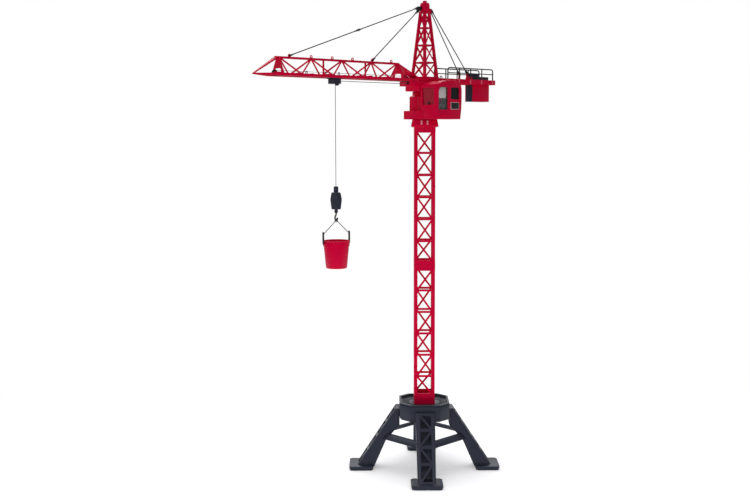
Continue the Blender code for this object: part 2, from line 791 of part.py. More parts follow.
def flat_eye(pin_at, towards, shift=0.0):
    """A plate with a pin hole, and where the rod leaves it."""
    pin_at = Vector(pin_at) + Vector((0, shift, 0))
    away = Vector(towards) - pin_at
    away.y = 0
    away.normalize()
    across = Vector((0, 1, 0)).cross(away)
    outline = [
        pin_at - away * 0.0028 + across * 0.0014, pin_at + across * 0.0029,
        pin_at + away * 0.0085 + across * 0.0012, pin_at + away * 0.0085 - across * 0.0012,
        pin_at - across * 0.0029, pin_at - away * 0.0028 - across * 0.0014,
    ]  # fmt: skip
    half = Vector((0, 0.0010, 0))
    body = loft([[p - half for p in outline], [p + half for p in outline]])
    hole = turned([(0.0014, -0.002), (0.0014, 0.002)], pin_at, axis="y", sides=10)
    return [body], [hole], pin_at + away * 0.0078


def build_stays(parent, black):
    eye = {k: (-(FIRST_EYE + k * EYE_SPACING), 0, EYE_Z) for k in range(6)}
    share = 0.5150
    coupler = Vector(eye[5]).lerp(Vector(LONG_PIN), share)

    lower, start = fork(eye[5], coupler)
    upper, end = fork(coupler, eye[5])
    make("front_stay_outer", black, parent, [rod(start, end, STAY_RADIUS), *lower, *upper])
    low_eye, low_hole, start = flat_eye(coupler, LONG_PIN)
    upper, end = fork(LONG_PIN, coupler)
    make("front_stay_inner", black, parent, [rod(start, end, STAY_RADIUS), *low_eye, *upper], low_hole)
    lower, start = fork(eye[1], SHORT_PIN)
    upper, end = fork(SHORT_PIN, eye[1])
    make("front_stay_short", black, parent, [rod(start, end, STAY_RADIUS), *lower, *upper])
    for name, side in (("near", -1), ("far", 1)):
        anchor = (ANCHOR[0], side * ANCHOR[1], ANCHOR[2])
        lower, start = fork(anchor, REAR_PIN)
        eye_body, hole, end = flat_eye(REAR_PIN, anchor, side * 0.0031)
        make(f"rear_stay_{name}", black, parent, [rod(start, end, STAY_RADIUS), *lower, *eye_body], hole)


# ---------------------------------------------------------------- jib
def build_jib(parent, red):
    """The three-chord jib: two lower chords with ledges for the trolley, one upper chord, and bracing."""
    root, straight = 0.0430, 0.4750
    web, ledge = 0.0030, 0.0050
    solids = []
    for side in (-1, 1):
        outer = sorted((side * (JIB_HALF - web), side * JIB_HALF))
        shelf = sorted((side * (JIB_HALF - web - ledge), side * (JIB_HALF - web / 2)))
        solids.append(box((-straight, outer[0], CHORD_BOTTOM), (-root, outer[1], CHORD_TOP)))
        solids.append(box((-0.4600, shelf[0], CHORD_BOTTOM + 0.0001), (-root - 0.001, shelf[1], 1.0000)))
        low, high = CHORD_BOTTOM + 0.0001, CHORD_TOP - 0.0001
        nose, start, tip = sorted((side * 0.0002, side * 0.0030)), -straight + 0.0015, -JIB_REACH + 0.0010
        bend = [(start, y, low) for y in outer] + [(start, y, high) for y in outer[::-1]]
        point = [(tip, y, POINT_LOW) for y in nose] + [(tip, y, POINT_HIGH) for y in nose[::-1]]
        solids.append(loft([bend, point]))
    solids.append(box((-0.4690, -0.0025, JIB_TOP - 0.0050), (-ROOT_APEX + 0.0035, 0.0025, JIB_TOP)))

    upper, lower = JIB_TOP - 0.0030, CHORD_TOP - 0.0020
    apexes = [ROOT_APEX] + [FIRST_APEX + k * PANEL for k in range(1, 5)]
    feet = [ROOT_FOOT] + [FIRST_APEX + (k + 0.5) * PANEL for k in range(1, 4)]
    for apex, foot in (*zip(apexes, feet), *zip(apexes[1:], feet)):
        lean = math.copysign(0.001, foot - apex)
        for side in (-1, 1):
            solids.append(
                bar(
                    (-apex - lean, side * 0.0008, upper),
                    (-foot, side * (JIB_HALF - web / 2), lower),
                    0.0034,
                    0.0024,
                    (0, side * 0.85, 0.5),
                )
            )
    cross_low, cross_high = CHORD_TOP - 0.0004, CHORD_TOP + 0.0022
    for at in (*feet, 0.2003, 0.3300):
        near, far = (-at - 0.0014, -JIB_HALF + 0.0006), (-at + 0.0014, JIB_HALF - 0.0006)
        solids.append(box((*near, cross_low), (*far, cross_high)))
    for at in (0.2003, 0.3300):
        near, far = (-at - 0.0019, -0.0012), (-at + 0.0019, 0.0012)
        solids.append(box((*near, cross_low + 0.0006), (*far, JIB_TOP - 0.0020)))

    arch_half, arch_top = 0.0120, CHORD_TOP + 0.0105
    bulkhead = [
        (-JIB_HALF + 0.0008, CHORD_BOTTOM + 0.0016), (-arch_half, CHORD_BOTTOM + 0.0016),
        (-arch_half, arch_top - 0.003), (-arch_half + 0.003, arch_top), (arch_half - 0.003, arch_top),
        (arch_half, arch_top - 0.003), (arch_half, CHORD_BOTTOM + 0.0016),
        (JIB_HALF - 0.0008, CHORD_BOTTOM + 0.0016), (0.0040, JIB_TOP - 0.0010), (-0.0040, JIB_TOP - 0.0010),
    ]  # fmt: skip
    for at in (ROOT_APEX - 0.0035, 0.4610):
        solids.append(prism(bulkhead, "x", -at - 0.0013, -at + 0.0013))

    root_half, root_z = JIB_HALF - 0.0004, CHORD_TOP + 0.0030
    root_face = [(-0.0942, 0.0036, JIB_TOP - 0.0006), (-0.0942, -0.0036, JIB_TOP - 0.0006),
                 (-0.0438, -root_half, root_z), (-0.0438, root_half, root_z)]  # fmt: skip
    under = [(x - 0.0020, y, z - 0.0024) for x, y, z in root_face]
    solids.append(loft([root_face, under]))
    for side in (-1, 1):
        outer = sorted((side * (JIB_HALF - 0.0026), side * (JIB_HALF - 0.0004)))
        outline = [(-0.0434, CHORD_BOTTOM + 0.0010), (-0.0434, CHORD_TOP + 0.0034),
                   (-0.0520, CHORD_TOP + 0.0034), (-0.0600, CHORD_BOTTOM + 0.0010)]  # fmt: skip
        solids.append(prism(outline, "y", *outer))

    tip_face = [(-0.4660, 0.0058, JIB_TOP - 0.0004), (-0.4660, -0.0058, JIB_TOP - 0.0004),
                (-JIB_REACH, -0.0022, POINT_HIGH), (-JIB_REACH, 0.0022, POINT_HIGH)]  # fmt: skip
    under = [(x, y, z - drop) for (x, y, z), drop in zip(tip_face, (0.0052, 0.0052, 0.0026, 0.0026))]
    solids.append(loft([tip_face, under]))
    solids.append(box((-JIB_REACH, -0.0030, POINT_LOW + 0.0001),
                      (-JIB_REACH + 0.0080, 0.0030, POINT_HIGH - 0.0001)))  # fmt: skip

    for k in range(6):
        at = FIRST_EYE + k * EYE_SPACING
        solids.append(ring_eye((-at, 0, EYE_Z), 0.0030, 0.0013))
        near, far = (-at - 0.0020, -0.0010), (-at + 0.0020, 0.0010)
        solids.append(box((*near, JIB_TOP - 0.0010), (*far, JIB_TOP + 0.0012)))

    for side in (-1, 1):
        cheek = sorted((side * 0.0030, side * 0.0048))
        solids.append(box((-TIP_PULLEY_AT - 0.0030, cheek[0], TIP_PULLEY_Z - 0.0028),
                          (-0.4600, cheek[1], TIP_PULLEY_Z + 0.0028)))  # fmt: skip
        low_y, high_y = sorted((side * 0.0040, side * 0.0140))
        solids.append(box((-0.4620, low_y, TIP_PULLEY_Z - 0.0024), (-0.4602, high_y, TIP_PULLEY_Z + 0.0024)))
    cuts = [
        turned([(0.0014, -0.006), (0.0014, 0.006)], (-TIP_PULLEY_AT, 0, TIP_PULLEY_Z), axis="y", sides=12),
        box((WINDOW_AT - 0.0105, 0.0035, 1.0020), (-0.0400, 0.0095, 1.0130)),
    ]
    make("jib_truss", red, parent, solids, cuts)


def build_tip_pulley(parent, black):
    centre = (-TIP_PULLEY_AT, 0, TIP_PULLEY_Z)
    groove, flange = LOOP_RADIUS - 0.0009, 0.0070
    profile = [
        (0.0010, -0.0056), (0.0010, -0.0024), (flange, -0.0022), (flange, -0.0015), (groove, -0.0007),
        (groove, 0.0007), (flange, 0.0015), (flange, 0.0022), (0.0010, 0.0024), (0.0010, 0.0056),
    ]  # fmt: skip
    make("tip_pulley", black, parent, [turned(profile, centre, axis="y", sides=20)], origin=centre, smooth=30)


# ---------------------------------------------------------------- counter-jib
RAIL_START, RAIL_END, RAIL_POSTS = 0.0590, 0.2290, 4


def build_counter_jib(parent, red, black, charcoal):
    low, wall = DECK_TOP - 0.0124, 0.0030
    front, middle, end = -0.0400, 0.0318, COUNTER_REACH
    outline = [
        (front, WINCH_TOP + GAP), (middle, WINCH_TOP + GAP), (middle, low), (end, low),
        (end, DECK_TOP), (front, DECK_TOP),
    ]  # fmt: skip
    solids = [prism(outline, "y", -DECK_HALF, DECK_HALF)]
    pitch = (RAIL_END - RAIL_START) / RAIL_POSTS
    for k in range(RAIL_POSTS + 1):
        at = RAIL_START - 0.0030 + k * pitch
        near, far = (at - 0.0014, -DECK_HALF - 0.0008), (at + 0.0014, DECK_HALF + 0.0008)
        solids.append(box((*near, low + 0.0006), (*far, DECK_TOP - 0.0004)))
    for side in (-1, 1):
        lug = [(ANCHOR[0] - 0.0030, DECK_TOP - 0.001), (ANCHOR[0] + 0.0030, DECK_TOP - 0.001),
               (ANCHOR[0] + 0.0024, ANCHOR[2] + 0.0018), (ANCHOR[0], ANCHOR[2] + 0.0028),
               (ANCHOR[0] - 0.0024, ANCHOR[2] + 0.0018)]  # fmt: skip
        at = side * ANCHOR[1]
        solids.append(prism(lug, "y", at - 0.0015, at + 0.0015))
    inner = DECK_HALF - wall
    cuts = [
        box((0.0360, -inner, low - 0.001), (BALLAST_FRONT - 0.004, inner, DECK_TOP - wall)),
        box((BALLAST_FRONT - GAP, -BALLAST_HALF - GAP, low - 0.002),
            (BALLAST_BACK + GAP, BALLAST_HALF + GAP, DECK_TOP + 0.001)),
        box((front - 0.001, 0.0035, WINCH_TOP - 0.001), (-0.0150, 0.0095, DECK_TOP + 0.001)),
    ]
    for side in (-1, 1):
        hole_at = (ANCHOR[0], side * ANCHOR[1], ANCHOR[2])
        cuts.append(turned([(0.0013, -0.003), (0.0013, 0.003)], hole_at, axis="y", sides=10))
    make("counter_jib_deck", red, parent, solids, cuts)

    for name, side in (("near", -1), ("far", 1)):
        make(f"railing_{name}", black, parent, railing(side * 0.0243))

    top_low, top_high = 1.0175, 1.0255
    step = 0.1910
    make(
        "ballast_block",
        charcoal,
        parent,
        [
            box((BALLAST_FRONT, -BALLAST_HALF, BALLAST_FLOOR), (BALLAST_BACK, BALLAST_HALF, top_low)),
            box((BALLAST_FRONT, -BALLAST_HALF, top_low - 0.002), (step, BALLAST_HALF, top_high)),
        ],
    )
    for name, side in (("near", -1), ("far", 1)):
        cover = sorted((side * (BALLAST_HALF + GAP), side * (BALLAST_HALF + 0.0024)))
        make(
            f"ballast_cover_{name}",
            red,
            parent,
            [box((BALLAST_FRONT, cover[0], BALLAST_FLOOR), (BALLAST_BACK, cover[1], low - GAP))],
        )


BALLAST_FRONT, BALLAST_BACK, BALLAST_HALF, BALLAST_FLOOR = 0.1640, 0.2270, 0.0118, 0.9522


def railing(y):
    """A handrail with round upper corners, a knee rail and five posts."""
    top, foot, radius = 1.0362, DECK_TOP + GAP, 0.0060
    start, end = RAIL_START, RAIL_END
    path = [(start, foot)]
    path += [(x, z) for x, z in arc((start + radius, top - radius), radius, 180, 90, 3)]
    path += [(x, z) for x, z in arc((end - radius, top - radius), radius, 90, 0, 3)]
    path += [(end, foot)]
    solids = [tube([(x, y, z) for x, z in path], 0.0016, 8)]
    pitch = (end - start) / RAIL_POSTS
    for k in range(1, RAIL_POSTS):
        at = start + k * pitch
        solids.append(tube([(at, y, foot), (at, y, top)], 0.0015, 8))
    knee = 1.0235
    solids.append(tube([(start - 0.0002, y, knee), (end + 0.0002, y, knee)], 0.0013, 6))
    return solids


# ---------------------------------------------------------------- trolley and ropes
def build_trolley(parent, charcoal, black, steel):
    middle, half_length, half_width = -TROLLEY_AT, 0.01225, 0.01025
    neck_half, neck_top = 0.0160, 1.0041
    sheave = (-(FALL_AT - SHEAVE_RADIUS - ROPE_RADIUS), 0, RUN_HEIGHT - SHEAVE_RADIUS - ROPE_RADIUS)
    axle_z, wheel_radius, axle_radius = 1.0022, 0.0019, 0.0008
    floor = 0.9855
    body = cropped_block(middle, half_length, half_width, floor, 0.9978)
    neck = box((middle - 0.0110, -neck_half, 0.9975), (middle + 0.0110, neck_half, neck_top))
    slot_half, reach = 0.0024, SHEAVE_RADIUS + 0.0022
    cuts = [
        box((sheave[0] - reach - 0.0006, -slot_half, 0.9800),
            (sheave[0] + reach + 0.0080, slot_half, sheave[2] + reach)),
        turned([(0.0010, -0.008), (0.0010, 0.008)], sheave, axis="y", sides=12),
    ]
    wheel_x = {"front": middle - 0.0078, "rear": middle + 0.0078}
    for x in wheel_x.values():
        cuts.append(turned([(0.0011, -0.02), (0.0011, 0.02)], (x, 0, axle_z), axis="y", sides=12))
    make("trolley_frame", charcoal, parent, [body, neck], cuts)
    groove, flange = SHEAVE_RADIUS, SHEAVE_RADIUS + 0.0013
    profile = [
        (0.0007, -0.0060), (0.0007, -0.0020), (flange, -0.0018), (flange, -0.0012),
        (groove - 0.0004, -0.0004), (groove - 0.0004, 0.0004),
        (flange, 0.0012), (flange, 0.0018), (0.0007, 0.0020), (0.0007, 0.0060),
    ]  # fmt: skip
    wheel = turned(profile, sheave, axis="y", sides=18)
    make("trolley_sheave", black, parent, [wheel], origin=sheave, smooth=30)
    track = JIB_HALF - 0.0055
    for name, x in wheel_x.items():
        centre = (x, 0, axle_z)
        profile = [
            (axle_radius, -track - 0.0022), (wheel_radius, -track - 0.0018), (wheel_radius, -track + 0.0012),
            (axle_radius, -track + 0.0014), (axle_radius, track - 0.0014), (wheel_radius, track - 0.0012),
            (wheel_radius, track + 0.0018), (axle_radius, track + 0.0022),
        ]  # fmt: skip
        make(f"trolley_wheels_{name}", steel, parent, [turned(profile, centre, axis="y", sides=14)],
             origin=centre, smooth=30)  # fmt: skip


def cropped_block(middle, half_length, half_width, low, high):
    corner = 0.0012
    outline = [
        (middle - half_length, -half_width + corner), (middle - half_length, half_width - corner),
        (middle - half_length + corner, half_width), (middle + half_length - corner, half_width),
        (middle + half_length, half_width - corner), (middle + half_length, -half_width + corner),
        (middle + half_length - corner, -half_width), (middle - half_length + corner, -half_width),
    ]  # fmt: skip
    return prism(outline, "z", low, high)


def rope(name, surface, parent, path, radius, resolution=2):
    """A round rope as a curve of straight runs through its points."""
    curve = bpy.data.curves.new(name, "CURVE")
    curve.dimensions = "3D"
    spline = curve.splines.new("POLY")
    spline.points.add(len(path) - 1)
    for point, place in zip(spline.points, path):
        point.co = (*place, 1.0)
    curve.bevel_depth = radius
    curve.bevel_resolution = resolution
    curve.use_fill_caps = True
    obj = bpy.data.objects.new(name, curve)
    bpy.context.scene.collection.objects.link(obj)
    obj.parent = parent
    curve.materials.append(surface)
    return obj


def build_ropes(upper, trolley, grey):
    wrap = SHEAVE_RADIUS + ROPE_RADIUS
    sheave = (-(FALL_AT - wrap), RUN_HEIGHT - wrap)
    bend = [(x, 0, z) for x, z in arc(sheave, wrap + 0.0001, 90, 180, 5)]
    drum_top = (DRUM_X[1], 0, DRUM_Z + DRUM_RADIUS + ROPE_RADIUS + GAP)
    rope("hoist_rope_run", grey, trolley, [drum_top, *bend], ROPE_RADIUS)
    fall_top = sheave[1] - GAP * 2
    rope(
        "hoist_rope_fall", grey, trolley,
        [(-FALL_AT - 0.0001, 0, fall_top), (-FALL_AT - 0.0001, 0, HOOK_BLOCK_TOP + GAP)], ROPE_RADIUS,
    )  # fmt: skip
    thin = 0.0005
    wound = DRUM_RADIUS + thin + GAP
    high, low = TIP_PULLEY_Z + LOOP_RADIUS, TIP_PULLEY_Z - LOOP_RADIUS
    outer_side, inner_side = 0.0065, -0.0060
    loop = [(x, 0, z) for x, z in arc((-TIP_PULLEY_AT, TIP_PULLEY_Z), LOOP_RADIUS, 270, 90, 8)]
    at_trolley = (-TROLLEY_AT - 0.0110 - GAP, 0, low)
    lead = [(WINDOW_AT, outer_side - 0.0003, high), (DRUM_X[0] + 0.0020, outer_side, DRUM_Z + wound)]
    rope("trolley_rope_outer", grey, upper, [at_trolley, *loop, *lead], thin, 1)
    at_trolley = (-TROLLEY_AT + 0.0110 + GAP, inner_side + 0.0020, low)
    lead = [(-0.0612, inner_side, 0.9967), (DRUM_X[0] - 0.0010, inner_side, DRUM_Z - wound)]
    rope("trolley_rope_inner", grey, upper, [at_trolley, *lead], thin, 1)


# ---------------------------------------------------------------- hook block, hook and bucket
def build_hook_block(parent, charcoal):
    neck = 0.0046
    x, y = 0.0095, 0.0118
    sections = [(0.78, HOOK_BLOCK_FLOOR), (0.83, 0.6940), (1.0, 0.7125),
                (1.0, 0.7155), (0.80, 0.7302), (0.70, 0.7312)]  # fmt: skip
    body = loft([[(-FALL_AT + share * x * a, share * y * b, z) for a, b in cropped_square(1.0, 0.16)]
                 for share, z in sections])  # fmt: skip
    top = loft([[(-FALL_AT + a, b, z) for a, b in cropped_square(half, 0.0012)]
                for half, z in ((neck, 0.7300), (neck, 0.7430),
                                (neck - 0.0010, HOOK_BLOCK_TOP))])  # fmt: skip
    socket = turned([(0.0030, 0.6890), (0.0030, 0.7000)], (-FALL_AT, 0, 0), sides=14)
    make("hook_block", charcoal, parent, [body, top], [socket])


def build_hook(hook_frame, black):
    """The swivelling hook, in the frame whose X axis runs along the bucket's pivots."""
    radius, wire = 0.0060, 0.0020
    centre_z = HOOK_ROD_Z + radius
    path = [(0, 0, 0.6840), (0, 0, 0.6800)]
    path += [(0, y, z) for y, z in arc((0, centre_z), radius, 75, -190, 14)]
    shank = [(0.0026, 0.6820), (0.0042, 0.6830), (0.0042, 0.6900), (0.0027, 0.6904), (0.0027, 0.6990)]
    make("hook", black, hook_frame, [turned(shank, (0, 0, 0), sides=14), tube(path, wire, 8)], smooth=40)


def build_bail(bail_frame, black):
    """The wire bail: a ring round the hook's rod, two slanting arms and two flat clips."""
    wire, ring = 0.0009, 0.0037
    solids = [ring_eye((0, 0, HOOK_ROD_Z), ring, wire, sides=14, wire_sides=6)]
    for side in (-1, 1):
        start = (side * ring * 0.80, 0, HOOK_ROD_Z - ring * 0.62)
        knee = (side * 0.0318, 0, 0.6352)
        low = (side * 0.0349, 0, 0.6330)
        solids.append(tube([start, knee, low], wire, 6))
        inner, outer = sorted((side * 0.0338, side * 0.0360))
        clip = [
            (-0.0022, 0.6380), (-0.0028, 0.6365), (-0.0028, BUCKET_PIVOT_Z),
            (-0.0018, BUCKET_PIVOT_Z - 0.0030), (0.0018, BUCKET_PIVOT_Z - 0.0030),
            (0.0028, BUCKET_PIVOT_Z), (0.0028, 0.6365), (0.0022, 0.6380),
        ]  # fmt: skip
        solids.append(prism(clip, "x", inner, outer))
    hole = turned([(0.0018, -0.04), (0.0018, 0.04)], (0, 0, BUCKET_PIVOT_Z), axis="x", sides=12)
    make("bucket_bail", black, bail_frame, solids, [hole])


def build_bucket(bucket_frame, red):
    wall = 0.0017
    profile = [
        (0.0238, BUCKET_FLOOR), (0.0254, BUCKET_FLOOR + 0.0020), (0.0302, 0.6030), (0.0316, 0.6036),
        (0.0322, BUCKET_RIM - 0.0012), (0.0330, BUCKET_RIM - 0.0008), (0.0330, BUCKET_RIM),
        (0.0309, BUCKET_RIM), (0.0302 - wall, 0.6035), (0.0254 - wall, BUCKET_FLOOR + 0.0036),
        (0.0230 - wall, BUCKET_FLOOR + 0.0026),
    ]  # fmt: skip
    solids = [turned(profile, (0, 0, 0), sides=32)]
    for side in (-1, 1):
        start, end = sorted((side * 0.0312, side * 0.0366))
        solids.append(turned([(0.0014, start), (0.0014, end)], (0, 0, BUCKET_PIVOT_Z), axis="x", sides=10))
    make("bucket", red, bucket_frame, solids, smooth=30)


# ---------------------------------------------------------------- the crane
SURFACES = {}


def build_crane():
    clear_scene()
    SURFACES.update(
        red=material("crimson_plastic", (0.620, 0.004, 0.040), 0.38),
        charcoal=material("charcoal_plastic", (0.030, 0.033, 0.050), 0.48),
        black=material("black_plastic", (0.012, 0.013, 0.016), 0.42),
        clear=material("clear_plastic", (0.80, 0.84, 0.86), 0.08),
        ivory=material("ivory_gear_plastic", (0.75, 0.72, 0.62), 0.40),
        steel=material("steel", (0.56, 0.56, 0.58), 0.30, 1.0),
        rope=material("grey_rope", (0.22, 0.22, 0.22), 0.80),
    )
    red, charcoal, black = SURFACES["red"], SURFACES["charcoal"], SURFACES["black"]
    tower = frame("tower_axis", location=(TOWER_X, 0, 0))
    base = frame("base_and_mast_frame", tower, turn=-SLEW_AT_REST)
    build_base(base, charcoal)
    build_mast(base, red)

    slew = frame("slew_axis", tower)
    spacing = GEAR_MODULE * (GEAR_TEETH + PINION_TEETH) / 2 + 0.0002
    tooth_at = math.tau * 8 / GEAR_TEETH - SLEW_AT_REST
    pinion_at = (spacing * math.cos(tooth_at), spacing * math.sin(tooth_at))
    build_head(slew, red, pinion_at)
    build_drives(slew, SURFACES["steel"], SURFACES["ivory"], black, pinion_at)
    build_cab(slew, red, SURFACES["clear"], black)
    build_cathead(slew, red, black)
    build_stays(slew, black)
    build_jib(slew, red)
    build_tip_pulley(slew, black)
    build_counter_jib(slew, red, black, charcoal)

    trolley = frame("trolley_axis", slew)
    build_trolley(trolley, charcoal, black, SURFACES["steel"])
    build_ropes(slew, trolley, SURFACES["rope"])
    build_hook_block(trolley, charcoal)
    fall = frame("hook_swivel_axis", trolley, (-FALL_AT, 0, 0), HOOK_YAW)
    build_hook(fall, black)
    build_bail(fall, black)
    build_bucket(fall, red)


build_crane()
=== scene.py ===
"""The looks of the toy tower crane: plastic finishes, fine lattice work, ropes and small details
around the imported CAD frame, on a plain pale floor under soft studio light."""

import json
import math

import bmesh
import bpy
from mathutils import Matrix, Vector


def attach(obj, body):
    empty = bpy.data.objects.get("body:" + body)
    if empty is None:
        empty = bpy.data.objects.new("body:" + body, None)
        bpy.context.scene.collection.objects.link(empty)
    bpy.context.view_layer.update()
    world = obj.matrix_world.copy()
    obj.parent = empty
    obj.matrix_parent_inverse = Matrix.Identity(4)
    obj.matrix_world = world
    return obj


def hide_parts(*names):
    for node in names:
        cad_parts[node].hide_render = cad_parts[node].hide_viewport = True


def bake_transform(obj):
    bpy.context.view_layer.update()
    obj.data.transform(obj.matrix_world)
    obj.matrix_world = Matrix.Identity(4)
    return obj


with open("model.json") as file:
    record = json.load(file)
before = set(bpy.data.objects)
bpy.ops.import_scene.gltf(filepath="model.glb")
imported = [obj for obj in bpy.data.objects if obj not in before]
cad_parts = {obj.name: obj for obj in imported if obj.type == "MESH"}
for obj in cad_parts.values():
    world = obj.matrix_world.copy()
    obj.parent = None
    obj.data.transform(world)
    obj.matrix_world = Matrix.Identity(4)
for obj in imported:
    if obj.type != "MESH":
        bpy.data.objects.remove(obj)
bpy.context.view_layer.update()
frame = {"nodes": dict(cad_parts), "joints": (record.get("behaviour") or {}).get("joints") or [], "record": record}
NODES = frame["nodes"]


def joint(name):
    return next(j for j in frame["joints"] if j["name"] == name)


# ---------------------------------------------------------------- places, from the frame
TOWER = Vector(joint("slew")["pos_m"])
TOWER_X = TOWER.x
SLEW_AT_REST = math.radians(-42)


# ---------------------------------------------------------------- materials
def node_tools(material):
    material.use_nodes = True
    tree = material.node_tree
    return tree, tree.nodes["Principled BSDF"]


def add(tree, kind, **values):
    node = tree.nodes.new(kind)
    for key, value in values.items():
        if key in node.inputs:
            node.inputs[key].default_value = value
        else:
            setattr(node, key, value)
    return node


def noise(tree, vector, scale, detail=2.0, roughness=0.5):
    made = add(tree, "ShaderNodeTexNoise", Scale=scale, Detail=detail, Roughness=roughness)
    tree.links.new(vector, made.inputs["Vector"])
    return made.outputs["Fac"]


def spread(tree, value, low, high, to_low, to_high):
    made = add(tree, "ShaderNodeMapRange")
    made.inputs["From Min"].default_value = low
    made.inputs["From Max"].default_value = high
    made.inputs["To Min"].default_value = to_low
    made.inputs["To Max"].default_value = to_high
    tree.links.new(value, made.inputs["Value"])
    return made.outputs["Result"]


def tinted(tree, value, dark, light):
    """A colour that drifts from dark to light with value."""
    ramp = add(tree, "ShaderNodeValToRGB")
    ramp.color_ramp.elements[0].position = 0.3
    ramp.color_ramp.elements[1].position = 0.7
    ramp.color_ramp.elements[0].color = (*dark, 1)
    ramp.color_ramp.elements[1].color = (*light, 1)
    tree.links.new(value, ramp.inputs["Fac"])
    return ramp.outputs["Color"]


def plastic(name, colour, roughness, grain=0.05, tint=0.06, gloss=0.5, gloss_tint=(1, 1, 1)):
    """Injection-moulded plastic: slow colour drift, a fine spark-eroded grain, and patchy gloss."""
    material = bpy.data.materials.new(name)
    tree, shader = node_tools(material)
    place = add(tree, "ShaderNodeTexCoord").outputs["Object"]
    drift = noise(tree, place, 9.0, 3.0, 0.55)
    fine = noise(tree, place, 2400.0, 2.0, 0.6)
    scuff = noise(tree, place, 160.0, 5.0, 0.7)
    dark = tuple(c * (1 - tint) for c in colour)
    light = tuple(min(1.0, c * (1 + tint)) for c in colour)
    tree.links.new(tinted(tree, drift, dark, light), shader.inputs["Base Color"])
    rough = spread(tree, scuff, 0.25, 0.75, roughness * 0.86, roughness * 1.16)
    tree.links.new(rough, shader.inputs["Roughness"])
    bump = add(tree, "ShaderNodeBump", Strength=grain, Distance=0.0003)
    tree.links.new(fine, bump.inputs["Height"])
    wave = add(tree, "ShaderNodeBump", Strength=0.05, Distance=0.002)
    tree.links.new(drift, wave.inputs["Height"])
    tree.links.new(wave.outputs["Normal"], bump.inputs["Normal"])
    tree.links.new(bump.outputs["Normal"], shader.inputs["Normal"])
    shader.inputs["Specular IOR Level"].default_value = gloss
    shader.inputs["Specular Tint"].default_value = (*gloss_tint, 1)
    return material


def metal(name, colour, roughness):
    """Drawn and plated steel, with fine lines along it."""
    material = bpy.data.materials.new(name)
    tree, shader = node_tools(material)
    place = add(tree, "ShaderNodeTexCoord").outputs["Object"]
    stretch = add(tree, "ShaderNodeMapping")
    stretch.inputs["Scale"].default_value = (900.0, 60.0, 900.0)
    tree.links.new(place, stretch.inputs["Vector"])
    lines = noise(tree, stretch.outputs["Vector"], 1.0, 3.0, 0.6)
    shade = tinted(tree, lines, tuple(c * 0.85 for c in colour), colour)
    tree.links.new(shade, shader.inputs["Base Color"])
    wear = spread(tree, lines, 0.2, 0.8, roughness * 0.7, roughness * 1.3)
    tree.links.new(wear, shader.inputs["Roughness"])
    shader.inputs["Metallic"].default_value = 1.0
    bump = add(tree, "ShaderNodeBump", Strength=0.08, Distance=0.0001)
    tree.links.new(lines, bump.inputs["Height"])
    tree.links.new(bump.outputs["Normal"], shader.inputs["Normal"])
    return material


def glazing(name, colour, roughness, alpha):
    """A thin clear pane with faint streaks of mould flow."""
    material = bpy.data.materials.new(name)
    tree, shader = node_tools(material)
    place = add(tree, "ShaderNodeTexCoord").outputs["Object"]
    streak = noise(tree, place, 70.0, 3.0, 0.5)
    shade = tinted(tree, streak, tuple(c * 0.94 for c in colour), colour)
    tree.links.new(shade, shader.inputs["Base Color"])
    wear = spread(tree, streak, 0.2, 0.8, roughness * 0.6, roughness * 1.6)
    tree.links.new(wear, shader.inputs["Roughness"])
    bump = add(tree, "ShaderNodeBump", Strength=0.06, Distance=0.0006)
    tree.links.new(streak, bump.inputs["Height"])
    tree.links.new(bump.outputs["Normal"], shader.inputs["Normal"])
    shader.inputs["Alpha"].default_value = alpha
    shader.inputs["Specular IOR Level"].default_value = 0.4
    return material


def twine(name, dark, light):
    """Twisted cord: fibres of randomly darker and lighter tone, and a dry fuzzy surface."""
    material = bpy.data.materials.new(name)
    tree, shader = node_tools(material)
    place = add(tree, "ShaderNodeTexCoord").outputs["Object"]
    fibre = noise(tree, place, 5200.0, 3.0, 0.7)
    tree.links.new(tinted(tree, fibre, dark, light), shader.inputs["Base Color"])
    tree.links.new(spread(tree, fibre, 0.2, 0.8, 0.7, 0.95), shader.inputs["Roughness"])
    bump = add(tree, "ShaderNodeBump", Strength=0.5, Distance=0.0002)
    tree.links.new(fibre, bump.inputs["Height"])
    tree.links.new(bump.outputs["Normal"], shader.inputs["Normal"])
    shader.inputs["Sheen Weight"].default_value = 0.2
    return material


CRIMSON = plastic(
    "crimson", (0.700, 0.0, 0.0420), 0.34, grain=0.10, gloss=0.25, gloss_tint=(1, 0.15, 0.30)
)
CHARCOAL = plastic(
    "charcoal", (0.0165, 0.0195, 0.0350), 0.36,
    grain=0.16, tint=0.10, gloss=0.35, gloss_tint=(0.80, 0.86, 1.0),
)  # fmt: skip
BLACK = plastic("black", (0.0075, 0.0085, 0.0110), 0.33, grain=0.08, tint=0.12, gloss=0.35)
IVORY = plastic("ivory", (0.72, 0.68, 0.56), 0.42, grain=0.06)
# painted highlight: a lighter pink crimson that stands in for the light caught on the deck's rib edges
RIB_HIGHLIGHT = plastic("crimson_rib_highlight", (0.84, 0.150, 0.210), 0.40, grain=0.05)
FADED = plastic("faded_print", (0.88, 0.36, 0.43), 0.45, grain=0.04, tint=0.03)
# pale print on the cab's panel frame, and also the painted reflection sheet in the cab's side window
PALE = plastic("pale_print_and_glare", (0.80, 0.70, 0.70), 0.45, grain=0.04, tint=0.03)
TINTED = plastic("tinted_pane", (0.0040, 0.0056, 0.0066), 0.16, grain=0.01, tint=0.10, gloss=0.22)
CLEAR = glazing("clear_pane", (0.80, 0.83, 0.86), 0.06, 0.07)
# The windscreen pane is a nearly opaque red, darker than the shell: the cab's red interior seen through it, with
# its shade painted in.
SCREEN = glazing("windscreen_pane", (0.50, 0.004, 0.030), 0.12, 0.78)
STEEL = metal("steel", (0.60, 0.60, 0.62), 0.28)
ROPE = twine("rope", (0.060, 0.060, 0.064), (0.19, 0.19, 0.195))

